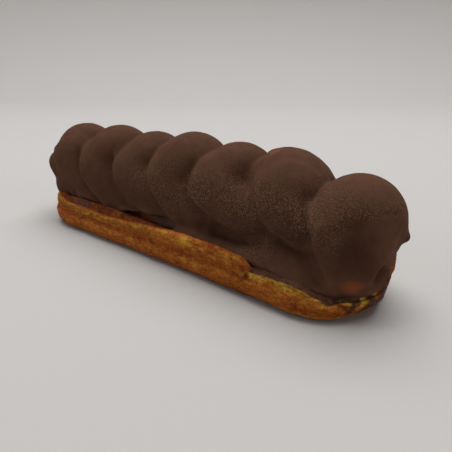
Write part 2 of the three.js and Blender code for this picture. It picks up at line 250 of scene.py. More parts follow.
def lattice_noise(points, size, seed):
    """Smooth noise of about -1 to 1 whose bumps are size across, from gradients on a lattice."""
    rng = np.random.default_rng(seed)
    table = rng.permutation(256)
    gradients = rng.normal(size=(256, 3))
    gradients /= np.linalg.norm(gradients, axis=1, keepdims=True)
    scaled = np.asarray(points, float) / size
    cell = np.floor(scaled).astype(int)
    inside = scaled - cell
    weight = inside * inside * inside * (inside * (inside * 6 - 15) + 10)
    total = np.zeros(len(scaled))
    for corner in np.ndindex(2, 2, 2):
        x, y, z = ((cell + corner) & 255).T
        picked = table[(table[(table[x] + y) & 255] + z) & 255]
        slope = (gradients[picked] * (inside - corner)).sum(1)
        share = np.where(np.array(corner) == 1, weight, 1 - weight).prod(1)
        total += slope * share
    return total * 1.6


def layered_noise(points, size, seed, layers):
    """Noise with finer layers on top, each half as large and half as strong as the last."""
    return sum(lattice_noise(points, size / 2 ** i, seed + i) / 2 ** i for i in range(layers))


# ------------------------------ the topping's field

COUNTS = np.ceil((GRID_HIGH - GRID_LOW) / VOXEL).astype(int) + 1
AXES = [np.float32(GRID_LOW[i] + VOXEL * np.arange(COUNTS[i])) for i in range(3)]
AXIS_SHAPES = [(-1, 1, 1), (1, -1, 1), (1, 1, -1)]
GX, GY, GZ = (axis.reshape(shape) for axis, shape in zip(AXES, AXIS_SHAPES))


def union(a, b, fillet):
    """The union of two distances, with a fillet where they meet."""
    overlap = np.maximum(fillet - np.abs(a - b), 0) / fillet
    return np.minimum(a, b) - overlap * overlap * fillet / 4


def common(a, b, rounding):
    """What two distances have in common, rounded where they meet."""
    return -union(-a, -b, rounding)


def path_of(knots, samples=5):
    """A closely sampled Catmull-Rom curve through knots of any number of coordinates."""
    knots = np.array([knots[0], *knots, knots[-1]], float)
    t = (np.arange(samples) / samples)[:, None]
    spans = []
    for i in range(1, len(knots) - 2):
        spans.append(catmull_rom(*knots[i - 1:i + 3], t))
    return np.vstack([*spans, knots[-1:]])


def smooth_route(balls, samples=6):
    """A closely sampled rope through the balls' places and radii, on the pastry's bow."""
    route = path_of(balls, samples)
    route[:, 1] += bow(route[:, 0])
    return route


def rope_field(balls):
    """The distance to a rope, from the tapered capsules between its samples."""
    field = np.full(COUNTS, FAR_AWAY, np.float32)
    route = smooth_route(balls)
    for start, end in zip(route[:-1], route[1:]):
        reach = max(start[3], end[3]) + FAR_AWAY / 1.5
        low = (np.minimum(start[:3], end[:3]) - reach - GRID_LOW) / VOXEL
        high = (np.maximum(start[:3], end[:3]) + reach - GRID_LOW) / VOXEL
        low = np.clip(np.floor(low), 0, COUNTS - 1)
        high = np.clip(np.ceil(high) + 1, 1, COUNTS)
        near = tuple(slice(int(a), int(b)) for a, b in zip(low, high))
        away = [AXES[i][near[i]].reshape(AXIS_SHAPES[i]) - start[i] for i in range(3)]
        along = end[:3] - start[:3]
        share = sum(away[i] * along[i] for i in range(3)) / max(float(along @ along), 1e-6)
        share = np.clip(share, 0, 1)
        distance = np.sqrt(sum((away[i] - share * along[i]) ** 2 for i in range(3)))
        field[near] = np.minimum(field[near], distance - lerp(start[3], end[3], share))
    return field


def softened(field, passes=2):
    """A field with its kinks evened out, by short running means along each axis."""
    for axis in (0, 1, 2) * passes:
        ends = [(2, 2) if i == axis else (0, 0) for i in range(3)]
        total = np.cumsum(np.pad(field, ends, "edge"), axis, dtype=np.float64)
        before = np.zeros_like(total.take([0], axis))
        total = np.concatenate([before, total], axis)
        count = field.shape[axis]
        high, low = np.arange(5, 5 + count), np.arange(count)
        field = ((total.take(high, axis) - total.take(low, axis)) / 5).astype(np.float32)
    return field


def strand_balls(x, height, radius, back, run, belly, hip, tail):
    """A strand's route, as balls from its rear tail over the crown to its front tail."""
    crown = height - radius

    def side(side_run, side_back, brow_out):
        return [
            (-side_back, brow_out, crown - BROW["drop"], radius * BROW["slimming"]),
            (-BELLY["back_share"] * side_back, BELLY["out"], belly, BELLY["radius"]),
            (HIP["run_share"] * side_run, HIP["out"], hip, HIP["radius"]),
            (side_run, TAIL["out"], tail, TAIL["radius"]),
        ]

    front = [(x + along, -out, z, r) for along, out, z, r in side(run, back, BROW["out"])]
    rear_side = side(run * TAIL["rear_run"], 0, BROW["rear_out"])
    rear = [(x - along, out, z, r) for along, out, z, r in rear_side]
    return [*reversed(rear), (x, 0, crown, radius), *front]


def outline_distance():
    """How far each grid column is outside the base's outline, seen from above."""
    beyond = np.maximum(np.abs(GX) - STRAIGHT / 2, 0)
    return np.sqrt(beyond * beyond + (GY - bow(GX)) ** 2) - RADIUS


def shoulder_field(outside):
    edge = lerp(SHOULDER_EDGE["high"], SHOULDER_EDGE["low"], smoothstep(GX, *SHOULDER_EDGE["span"]))
    rise = GZ - edge
    slope = lerp(SHOULDER["slope_start"], SHOULDER["slope"], smoothstep(GX, *SHOULDER["swell"]))
    slope = lerp(slope, SHOULDER["slope_end"], smoothstep(GX, *SHOULDER["fade"]))
    lean = slope * np.maximum(rise, 0) - SHOULDER["tuck"] * np.minimum(rise, 0)
    side = common(outside + SHOULDER["inset"] + lean, GZ - SHOULDER["top"], SHOULDER["rounding"])
    start = SHOULDER["start_slope"] * (SHOULDER["start"] - GX) + SHOULDER["rear_lean"] * np.maximum(GY, 0)
    return np.maximum(np.maximum(side, CORE["bottom"] - GZ), start)


def core_field(outside):
    side = common(outside + CORE["inset"], GZ - CORE["top"], CORE["rounding"])
    return np.maximum(side, CORE["bottom"] - GZ)


def topping_field():
    strands = [strand_balls(**strand) for strand in STRANDS]
    field = FAR_AWAY
    for rope in (*strands, END_DOME, END_HEEL, START_BUMP, TOP_LUMP):
        field = union(field, softened(rope_field(rope)), CREASE_FILLET)
    for rope in (DRIP, TOE, FLUTE, COAT_LIP):
        field = union(field, rope_field(rope), CREASE_FILLET)
    outside = outline_distance()
    field = union(field, core_field(outside), CORE["fillet"])
    field = union(field, shoulder_field(outside), SHOULDER["fillet"])
    return common(field, CORE["bottom"] - GZ, FOOT_ROUNDING)


# ------------------------------ meshes

def mesh_piece(name, points, faces, material):
    """A smooth mesh object from points in millimetres in the pastry's own frame."""
    mesh = bpy.data.meshes.new(name)
    places = (np.asarray(points) * MM + [MIDDLE_X, 0, 0]).astype(np.float32)
    faces = np.asarray(faces, np.int32)
    mesh.vertices.add(len(places))
    mesh.vertices.foreach_set("co", places.ravel())
    mesh.loops.add(faces.size)
    mesh.loops.foreach_set("vertex_index", faces.ravel())
    mesh.polygons.add(len(faces))
    mesh.polygons.foreach_set("loop_start", np.arange(0, faces.size, faces.shape[1], dtype=np.int32))
    mesh.polygons.foreach_set("use_smooth", np.ones(len(faces), bool))
    mesh.update()
    mesh.validate()
    mesh.materials.append(material)
    piece = bpy.data.objects.new(name, mesh)
    bpy.context.scene.collection.objects.link(piece)
    return piece


def give(piece, name, values):
    """Stores a value or a vector for each vertex, which the piece's material reads."""
    values = np.asarray(values, np.float32)
    kind, key = ("FLOAT", "value") if values.ndim == 1 else ("FLOAT_VECTOR", "vector")
    piece.data.attributes.new(name, kind, "POINT").data.foreach_set(key, values.ravel())


def mesh_of_field(field):
    grid = openvdb.FloatGrid(FAR_AWAY)
    grid.copyFromArray(np.ascontiguousarray(field, np.float32))
    points, quads = grid.convertToQuads(isovalue=0.0)
    return points * VOXEL + GRID_LOW, quads.astype(np.int64)


def relax(points, faces, passes):
    """Evens out a mesh without shrinking it, by steps in and out."""
    pairs = np.vstack([faces[:, [i, (i + 1) % faces.shape[1]]] for i in range(faces.shape[1])])
    counts = np.bincount(pairs.ravel(), minlength=len(points))[:, None]
    for step in [0.5, -0.52] * passes:
        total = np.zeros_like(points)
        for axis in range(3):
            total[:, axis] = np.bincount(pairs[:, 0], points[pairs[:, 1], axis], len(points))
            total[:, axis] += np.bincount(pairs[:, 1], points[pairs[:, 0], axis], len(points))
        points = points + step * (total / counts - points)
    return points


def normals_of(points, faces):
    a, b, c, d = (points[faces[:, i]] for i in range(4))
    face_normals = np.cross(c - a, d - b)
    normals = np.zeros_like(points)
    for corner in range(4):
        for axis in range(3):
            normals[:, axis] += np.bincount(faces[:, corner], face_normals[:, axis], len(points))
    return normals / np.maximum(np.linalg.norm(normals, axis=1, keepdims=True), 1e-9)


# ------------------------------ materials

# Sizes here are in metres, and a noise's scale counts its bumps per metre
GRAIN_SCALE = 3300
CLOUD_SCALE = 330
COAT_BUMP = 0.00012
CRUST_BUMP = 0.0002
# The painted glints on the coat's fine grain, and its dark grains
GRAIN_GLINT = (0.29, 0.18, 0.1)
GRAIN_DARK = (0.034, 0.0165, 0.011)
FLOOR = (0.458, 0.444, 0.43)
DULL = 0.02  # the weak specular level of both foods


def start_material(name):
    material = bpy.data.materials.new(name)
    material.use_nodes = True
    return material, material.node_tree.nodes, material.node_tree.links


def node_of(nodes, kind, **settings):
    node = nodes.new(kind)
    for name, value in settings.items():
        setattr(node, name, value)
    return node


def noise_of(nodes, links, vector, scale, detail, roughness):
    noise = node_of(nodes, "ShaderNodeTexNoise")
    noise.inputs["Scale"].default_value = scale
    noise.inputs["Detail"].default_value = detail
    noise.inputs["Roughness"].default_value = roughness
    links.new(vector, noise.inputs["Vector"])
    return noise.outputs["Fac"]


def remap(nodes, links, value, low, high, to_low, to_high):
    node = node_of(nodes, "ShaderNodeMapRange", interpolation_type="SMOOTHSTEP")
    for name, number in (("From Min", low), ("From Max", high), ("To Min", to_low), ("To Max", to_high)):
        node.inputs[name].default_value = number
    links.new(value, node.inputs["Value"])
    return node.outputs["Result"]


def math_of(nodes, links, operation, a, b):
    node = node_of(nodes, "ShaderNodeMath", operation=operation)
    for socket, value in zip(node.inputs, (a, b)):
        if isinstance(value, (int, float)):
            socket.default_value = value
        else:
            links.new(value, socket)
    return node.outputs["Value"]


def blend(nodes, links, share, a, b, mode="MIX"):
    """Mixes two colours, each of them a socket or a plain colour."""
    node = node_of(nodes, "ShaderNodeMix", data_type="RGBA", blend_type=mode)
    for socket, value in ((node.inputs[0], share), (node.inputs[6], a), (node.inputs[7], b)):
        if isinstance(value, tuple):
            socket.default_value = (*value, 1)
        elif isinstance(value, (int, float)):
            socket.default_value = value
        else:
            links.new(value, socket)
    return node.outputs[2]


def attribute_of(nodes, name, output="Vector"):
    return node_of(nodes, "ShaderNodeAttribute", attribute_name=name).outputs[output]


def chocolate_material():
    """The painted coat, with painted glints and dark grains where its fine grain shows."""
    material, nodes, links = start_material("milk_chocolate")
    shader = nodes["Principled BSDF"]
    place = node_of(nodes, "ShaderNodeTexCoord").outputs["Object"]
    glinting_grain = attribute_of(nodes, "grain_glints", "Fac")
    grain = noise_of(nodes, links, place, GRAIN_SCALE, 1.5, 0.6)
    cloud = noise_of(nodes, links, place, CLOUD_SCALE, 3, 0.5)
    # Painted glints on the lighter grains, and dark grains, where the grain shows
    bright = math_of(nodes, links, "MULTIPLY", remap(nodes, links, grain, 0.51, 0.66, 0, 0.6), glinting_grain)
    dark = math_of(nodes, links, "MULTIPLY", remap(nodes, links, grain, 0.38, 0.57, 0.85, 0), glinting_grain)
    cloudy = remap(nodes, links, cloud, 0.35, 0.65, 0.94, 1.06)
    tone = node_of(nodes, "ShaderNodeCombineColor")
    for channel in tone.inputs:
        links.new(cloudy, channel)
    colour = blend(nodes, links, 1.0, attribute_of(nodes, "paint"), tone.outputs["Color"], "MULTIPLY")
    colour = blend(nodes, links, bright, colour, GRAIN_GLINT)
    colour = blend(nodes, links, dark, colour, GRAIN_DARK)
    links.new(colour, shader.inputs["Base Color"])
    shader.inputs["Roughness"].default_value = 0.75
    shader.inputs["Specular IOR Level"].default_value = DULL
    bump = node_of(nodes, "ShaderNodeBump")
    bump.inputs["Distance"].default_value = COAT_BUMP
    links.new(remap(nodes, links, glinting_grain, 0, 1, 0.12, 0.7), bump.inputs["Strength"])
    links.new(grain, bump.inputs["Height"])
    links.new(bump.outputs["Normal"], shader.inputs["Normal"])
    return material


def choux_material():
    """The painted crust, with fine streaks drawn out along it, glossier where it is stained."""
    material, nodes, links = start_material("baked_choux")
    shader = nodes["Principled BSDF"]
    grain = attribute_of(nodes, "grain")
    paint = attribute_of(nodes, "paint")
    stain = attribute_of(nodes, "stain", "Fac")
    streak = noise_of(nodes, links, grain, 1.1, 4, 0.6)
    speck = noise_of(nodes, links, grain, 3.2, 2, 0.5)
    shade = math_of(nodes, links, "MULTIPLY", remap(nodes, links, streak, 0.3, 0.7, 0.78, 1.24),
                    remap(nodes, links, speck, 0.3, 0.62, 0.74, 1.14))
    tone = node_of(nodes, "ShaderNodeCombineColor")
    for channel, power in zip(tone.inputs, (1.0, 1.4, 1.7)):
        links.new(math_of(nodes, links, "POWER", shade, power), channel)
    colour = blend(nodes, links, 1.0, paint, tone.outputs["Color"], "MULTIPLY")
    links.new(colour, shader.inputs["Base Color"])
    links.new(remap(nodes, links, stain, 0, 1, 0.62, 0.4), shader.inputs["Roughness"])
    shader.inputs["Specular IOR Level"].default_value = DULL
    bump = node_of(nodes, "ShaderNodeBump")
    bump.inputs["Strength"].default_value = 0.5
    bump.inputs["Distance"].default_value = CRUST_BUMP
    links.new(math_of(nodes, links, "ADD", streak, speck), bump.inputs["Height"])
    links.new(bump.outputs["Normal"], shader.inputs["Normal"])
    return material


def floor_material():
    material, nodes, _ = start_material("pale_floor")
    shader = nodes["Principled BSDF"]
    shader.inputs["Base Color"].default_value = (*FLOOR, 1)
    shader.inputs["Roughness"].default_value = 0.8
    return material


# ------------------------------ pieces

def creased(x, z, knots):
    """How far points are moved out by one crease, seen from the side."""
    route = path_of(knots)
    nearest = np.full(len(x), 99.0)
    side = np.zeros(len(x))
    share = np.zeros(len(x))
    for i, ((x_a, z_a), (x_b, z_b)) in enumerate(zip(route[:-1], route[1:])):
        run, rise = x_b - x_a, z_b - z_a
        along = np.clip(((x - x_a) * run + (z - z_a) * rise) / (run * run + rise * rise), 0, 1)
        off_x, off_z = x - x_a - along * run, z - z_a - along * rise
        away = np.hypot(off_x, off_z)
        closer = away < nearest
        nearest = np.where(closer, away, nearest)
        side = np.where(closer, np.sign(run * (z - z_a) - rise * (x - x_a)), side)
        share = np.where(closer, (i + along) / (len(route) - 1), share)
    away = nearest * side
    sunk = -CREASE["sink"] * np.exp(-np.maximum(-away, 0) / CREASE["sink_reach"])
    proud = CREASE["lift"] * np.exp(-np.maximum(away, 0) / CREASE["lift_reach"])
    step = lerp(sunk, proud, smoothstep(away, -CREASE["step"], CREASE["step"]))
    step *= 1 - smoothstep(share, *CREASE["tail_fade"])
    return step * (1 - smoothstep(z, *CREASE["top_fade"]))


def crease_relief(points):
    x, y, z = points.T
    near_side = smoothstep(bow(x) - y, *CREASE["side_fade"])
    far_side = smoothstep(y - bow(x), *CREASE["side_fade"])
    relief = np.zeros(len(x))
    for knots in CREASES:
        relief += near_side * creased(x, z, knots)
    for knots in CREASES[1:]:
        crown = knots[0][0]
        turned = [(-(crown + (crown - k) * CREASE["rear_share"]), height) for k, height in knots]
        relief += far_side * creased(-x, z, turned)
    return relief


def furrow_relief(points):
    relief = np.zeros(len(points))
    for out, wide, knots in FURROWS:
        route = path_of(knots)
        nearest = np.full(len(points), 99.0)
        for start, end in zip(route[:-1], route[1:]):
            along = end - start
            share = np.clip((points - start) @ along / max(along @ along, 1e-9), 0, 1)[:, None]
            nearest = np.minimum(nearest, np.linalg.norm(points - start - share * along, axis=1))
        relief += out * np.exp(-(nearest / wide) ** 2)
    return relief


CHOCOLATE = (0.085, 0.0392, 0.024)
REDDISH = (0.27, 0.074, 0.03)
# The lining of the dark gap under the left strands, painted light that stands in for the light
# the shaded gap lacks: the colour, the one it ends in, how far in and how high it reaches, where
# it starts and ends, how bright it starts, and where both changes happen
LIT_GAP_LINING = (0.36, 0.13, 0.062)
LIT_GAP_END = (0.2, 0.13, 0.095)
GAP_FILL_LIGHT = dict(
    depth=(-14, -13), top=(14, 15.5), start=(-62, -54), end=(0, 3), bright=2.4, dimming=(-26, -14),
    ending=(-14, -7), share=0.9,
)
# Painted shade on the near side's bellies, and a painted highlight along the coat's foot at the dome
NEAR_BELLY_SHADE = dict(share=-0.2, height=21.5, width=6.5, span=((-52, -30), (63, 69)))
DOME_FOOT_HIGHLIGHT = dict(share=0.2, height=9.4, width=0.7, start=(58, 63))
# Painted highlights where creases stand proud and painted shade where they are sunk, by these reliefs
CREASE_HIGHLIGHTS = dict(share=0.22, relief=(0.3, 0.75))
CREASE_SHADOWS = dict(share=-0.2, relief=(0.3, 0.85))
# Where the coat is thin and the pastry glows through: middle, reach along x and y, reach in height
# and share
THIN_SPOTS = [((66.5, -13.4, 11.7), 3.0, 2.0, 1.0), ((34.2, -2.6, 40.6), 2.2, 1.5, 0.3)]
# Painted glints and dark grains on the coat's fine grain: where they start, their middle height and
# half width, the dome's line below which they end, and their patch of painted highlight on the shoulder
GLINTS_ON_GRAIN = dict(
    start=(-30, -2), height=27.5, width=7.5, dome=(60, 65), dome_line=(29, 31.2), patch=(36, 15),
    patch_reach=(8, 3.5), patch_share=0.5,
)
# Painted shade and light in patches of the coat: middle, reach along x and y, reach in height and change
LIGHT_AND_SHADE_PATCHES = [
    ((66.8, -13.6, 22), 4.2, 6, -0.2), ((60.5, -15.8, 18), 2.6, 8, 0.1), ((72.5, -7, 21), 4, 6, 0.42),
    ((62, -14.6, 12.5), 3.5, 2.5, 0.4), ((70, -9.5, 11.5), 3, 2.5, 0.15), ((27, -9, 33), 4, 3, -0.1),
    ((43.5, -11, 35), 4, 3, -0.1), ((20, -15, 14), 9, 2.5, -0.08), ((71.4, -8.3, 14.2), 1.7, 2.6, -0.45),
    ((72.2, -7.4, 18.4), 1.4, 2.6, -0.2), ((71.6, -4.5, 31.2), 3.4, 0.55, -0.4),
]


def topping_paint(points, creases):
    """The topping's colour, with painted light and shade, and where its grain and painted glints show."""
    x, y, z = points.T
    mottle = layered_noise(points, 8, 101, 3)
    drawn = layered_noise(points * [1, 1, 0.25], 2.2, 111, 2)
    shade = 1 + 0.05 * mottle + 0.035 * drawn
    # Patches of painted shade and painted light
    for middle, wide, tall, change in LIGHT_AND_SHADE_PATCHES:
        away = (points - middle) / [wide, wide, tall]
        shade += change * np.exp(-(away ** 2).sum(1))
    # Painted highlights on the proud side of each crease, painted shade on the sunk side
    shade += CREASE_HIGHLIGHTS["share"] * smoothstep(creases, *CREASE_HIGHLIGHTS["relief"])
    shade += CREASE_SHADOWS["share"] * smoothstep(-creases, *CREASE_SHADOWS["relief"])
    # Painted shade on the strands' bellies on the near side, and a painted highlight at the dome's foot
    belly_shade = band(z, NEAR_BELLY_SHADE["height"], NEAR_BELLY_SHADE["width"]) * (y < 0)
    shade += NEAR_BELLY_SHADE["share"] * belly_shade * window(x, *NEAR_BELLY_SHADE["span"])
    lip_highlight = band(z, DOME_FOOT_HIGHLIGHT["height"], DOME_FOOT_HIGHLIGHT["width"])
    shade += DOME_FOOT_HIGHLIGHT["share"] * lip_highlight * smoothstep(x, *DOME_FOOT_HIGHLIGHT["start"])
    paint = np.array(CHOCOLATE) * shade[:, None]
    # The gap's lining, painted lighter, most of all at its left end, in place of the light it lacks
    in_gap = smoothstep(y - bow(x), *GAP_FILL_LIGHT["depth"]) * (1 - smoothstep(z, *GAP_FILL_LIGHT["top"])) * (y < 0)
    in_gap *= window(x, GAP_FILL_LIGHT["start"], GAP_FILL_LIGHT["end"])
    lit_lining = np.array(LIT_GAP_LINING) * lerp(GAP_FILL_LIGHT["bright"], 1.0, smoothstep(x, *GAP_FILL_LIGHT["dimming"]))[:, None]
    lit_lining = lerp(lit_lining, np.array(LIT_GAP_END), smoothstep(x, *GAP_FILL_LIGHT["ending"])[:, None])
    paint = lerp(paint, lit_lining, GAP_FILL_LIGHT["share"] * in_gap[:, None])
    for middle, wide, tall, strength in THIN_SPOTS:
        away = (points - middle) / [wide, wide, tall]
        share = np.exp(-(away ** 2).sum(1) ** 2) * (0.9 + 0.3 * mottle)
        paint = lerp(paint, np.array(REDDISH), np.clip(share, 0, 1)[:, None] * strength)
    # Where the grain shows with its painted glints, and a painted highlight with grain on the shoulder
    patches = 0.62 + 0.5 * layered_noise(points, 11, 121, 2)
    grain_glints = smoothstep(x, *GLINTS_ON_GRAIN["start"]) * band(z, GLINTS_ON_GRAIN["height"], GLINTS_ON_GRAIN["width"])
    grain_glints *= np.clip(patches, 0, 1)
    grain_glints *= 1 - smoothstep(x, *GLINTS_ON_GRAIN["dome"]) * (1 - smoothstep(z, *GLINTS_ON_GRAIN["dome_line"]))
    shoulder_glints = spot(x, z, *GLINTS_ON_GRAIN["patch"], *GLINTS_ON_GRAIN["patch_reach"]) * (y < 0)
    return paint, np.clip(grain_glints + GLINTS_ON_GRAIN["patch_share"] * shoulder_glints, 0, 1)


def topping():
    points, faces = mesh_of_field(topping_field())
    points = relax(points, faces, 3)
    creases = crease_relief(points)
    relief = creases + furrow_relief(points)
    relief += 0.09 * layered_noise(points, 5, 131, 2) + 0.03 * layered_noise(points, 1.6, 141, 1)
    points = points + relief[:, None] * normals_of(points, faces)
    piece = mesh_piece("chocolate_topping", points, faces, chocolate_material())
    paint, grain_glints = topping_paint(points, creases)
    give(piece, "paint", paint)
    give(piece, "grain_glints", grain_glints)
    return piece


def outline_frame(arc):
    """The point that the outline turns round, along x, and the way out from it, at an arc."""
    half_turn = math.pi * RADIUS
    along = (arc + half_turn / 2 + STRAIGHT) % PERIMETER
    ends = np.cumsum([STRAIGHT, half_turn, STRAIGHT, half_turn])
    stretch = np.minimum(np.searchsorted(ends, along, side="right"), 3)
    rest = along - np.concatenate([[0], ends])[stretch]
    side = np.where(stretch < 2, 1.0, -1.0)
    turning = stretch % 2 == 1
    angle = np.where(turning, rest / RADIUS - math.pi / 2, -math.pi / 2)
    middle_x = side * np.where(turning, STRAIGHT / 2, rest - STRAIGHT / 2)
    return middle_x, side * np.cos(angle), side * np.sin(angle)


def dense_section(section):
    """The section as a smooth curve of evenly placed rows, and the flat rows at either end of it."""
    knots = np.array([section[0], *section, section[-1]], float)
    t = np.linspace(0, len(section) - 1, STEPS_ACROSS)
    span = np.minimum(t.astype(int), len(section) - 2)
    rows = catmull_rom(*(knots[span + i] for i in range(4)), (t - span)[:, None])
    under = np.stack([UNDERSIDE_INSETS, np.zeros(len(UNDERSIDE_INSETS))], axis=-1)
    top = np.stack([TOP_INSETS, np.full(len(TOP_INSETS), section[-1][1])], axis=-1)
    places = np.concatenate([np.zeros(len(under)), t, np.full(len(top), t[-1])])
    return np.vstack([under, rows, top]), places


def trail(arc, height, knots):
    """A smear on the crust: 1 along a path of arcs, heights and half widths, 0 off it."""
    mask = np.zeros(np.broadcast(arc, height).shape)
    for (arc_a, height_a, wide_a), (arc_b, height_b, wide_b) in zip(knots[:-1], knots[1:]):
        run, rise = arc_b - arc_a, height_b - height_a
        along = (arc - arc_a) * run + (height - height_a) * rise
        share = np.clip(along / (run * run + rise * rise), 0, 1)
        away = np.hypot(arc - arc_a - share * run, height - height_a - share * rise)
        mask = np.maximum(mask, 1 - smoothstep(away / lerp(wide_a, wide_b, share), 0.6, 1.4))
    return mask


def lifted(arc, knots):
    """A lift at places round the outline, eased between knots of arcs and heights."""
    arcs, lifts = np.array(knots, float).T
    arcs = np.concatenate([arcs, [arcs[0] + PERIMETER]])
    lifts = np.concatenate([lifts, [lifts[0]]])
    around = (arc - arcs[0]) % PERIMETER + arcs[0]
    span = np.clip(np.searchsorted(arcs, around, side="right") - 1, 0, len(arcs) - 2)
    share = smoothstep(around, arcs[span], arcs[span + 1])
    return lerp(lifts[span], lifts[span + 1], share)


def crust_frame():
    """The pastry's smooth form: a grid of points, and what its relief and its colours follow."""
    arc = ((np.arange(STEPS_AROUND) + 0.5) / STEPS_AROUND - 0.5)[:, None] * PERIMETER
    middle_x, out_x, out_y = outline_frame(arc)
    (ridged, knot), (dipped, _) = dense_section(RIDGED_SECTION), dense_section(DIPPED_SECTION)
    knot = knot[None, :]
    off_crest = np.clip((knot - CREST_KNOT) / RIDGE_HALF, -1, 1)
    low_row = knot < CREST_KNOT - RIDGE_HALF
    nosed = arc + np.where(off_crest < 0, *DIP_NOSE) * np.abs(off_crest)
    past_ridge = smoothstep(nosed, DIP_START, DIP_START + DIP_LENGTH)
    past_ridge = np.where(low_row, smoothstep(arc - DIP_START, *LOW_DIP_REACH), past_ridge)
    past_ridge = past_ridge * (1 - smoothstep(arc, *DIP_END))
    on_ridge = smoothstep(ridged[None, :, 1], *RIDGE_HEIGHTS) * (1 - smoothstep(knot, *RIDGE_TO_LEDGE))
    on_ledge = window(knot, RIDGE_TO_LEDGE, LEDGE_TO_FLAT)
    rise = on_ridge * lifted(arc, CREST_LIFT) + on_ledge * lifted(arc, LEDGE_LIFT)
    strip = window(knot, *DIP_STRIP)
    drop = TIP_DROP * smoothstep(arc, *TIP_DROP_SPAN) + NOSE_DROP * (1 - smoothstep(arc, *NOSE_DROP_SPAN))
    inset = lerp(ridged[None, :, 0], dipped[None, :, 0], past_ridge)
    height = lerp(ridged[None, :, 1] + rise, dipped[None, :, 1] - strip * drop, past_ridge)
    heel = 1 - smoothstep(np.abs(arc - HEEL_ARC), *HEEL_REACH)
    rim = 1 - smoothstep(inset, *HEEL_INSETS)
    inset = inset + HEEL_UNDERCUT * heel * (1 - smoothstep(height, *HEEL_HEIGHTS)) * rim
    px = middle_x + (RADIUS - inset) * out_x
    py = (RADIUS - inset) * out_y + bow(px)
    points = np.stack([px, py, height], axis=-1)
    step = np.linalg.norm(np.diff(points, axis=1), axis=-1)
    across = np.concatenate([np.zeros((STEPS_AROUND, 1)), np.cumsum(step, axis=1)], axis=1)
    return points, dict(
        arc=np.broadcast_to(arc, px.shape), knot=np.broadcast_to(knot, px.shape), past=past_ridge,
        height=height, across=across, x=px,
    )


def grid_normals(points):
    around = np.roll(points, -1, axis=0) - np.roll(points, 1, axis=0)
    across = np.gradient(points, axis=1)
    normals = np.cross(around, across)
    return normals / np.maximum(np.linalg.norm(normals, axis=-1, keepdims=True), 1e-9)


SIDE_KNOTS = ((0, 1.5), (10.5, 11.6))  # the rows that carry relief, between their soft edges
ROUGH_FROM = (10, 16)  # where along x the ridge turns rough
ROUGH_HEIGHTS = (7.5, 9)
LOW_CREST = (6.5, 0.9)  # knot and half width of the pitted edge below the missing ridge
LOW_CREST_END = (-24, -21)
FAR_CORNER = (-148, 10)  # arc and half width of the corner that bulges at the far end
FAR_CORNER_BULGE = (5, 1.1)
FOOT_ROLL = (1.9, 0.7)  # height and half width of the roll at the near foot
FOOT_ROLL_START = (-42, -34)
# Bulges and dents of the crust: how far out, the arc and height, and the reach along and across
CRUST_BULGES = [
    (0.5, -71.4, 11.2, 2.2, 1.4), (0.6, -49.5, 8.3, 2.8, 0.9), (-0.7, -46.2, 7.5, 0.9, 1.0),
    (0.35, -66.5, 4.6, 2.2, 1.1), (0.3, -20.5, 5.2, 3, 0.8), (0.3, -16.4, 7.2, 1.8, 0.7),
    (-0.3, -16.2, 5.4, 1.2, 0.7), (0.55, 6, 12, 8, 4.5),
]
# Chocolate smeared on the crust near the tip: arcs, heights and half widths, and how far out it lies
SMEARS = dict(
    recess=[(-26, 10.2, 0.5), (-23.4, 8.9, 1.1), (-21.4, 7.5, 1.8), (-19.2, 7.7, 1.5), (-17.6, 8.2, 0.7)],
    drip=[(-13.2, 8.2, 1.2), (-12.5, 7, 1.4), (-12.7, 5.9, 1.5), (-13.4, 4.7, 1.4), (-14.7, 3.6, 0.9)],
    smear=[(-8, 8, 0.8), (-7.4, 6.4, 1.2), (-7.6, 5, 1.3), (-9.4, 3.6, 0.8), (-11, 2.8, 0.4)],
    trickle=[(-6, 4.9, 1.2), (-3, 5, 1.6), (-0.6, 7.2, 1.4), (1.5, 9.5, 1.2)],
)
SMEAR_RELIEF = dict(recess=-0.6, drip=0.35, smear=0.3, trickle=0.25)


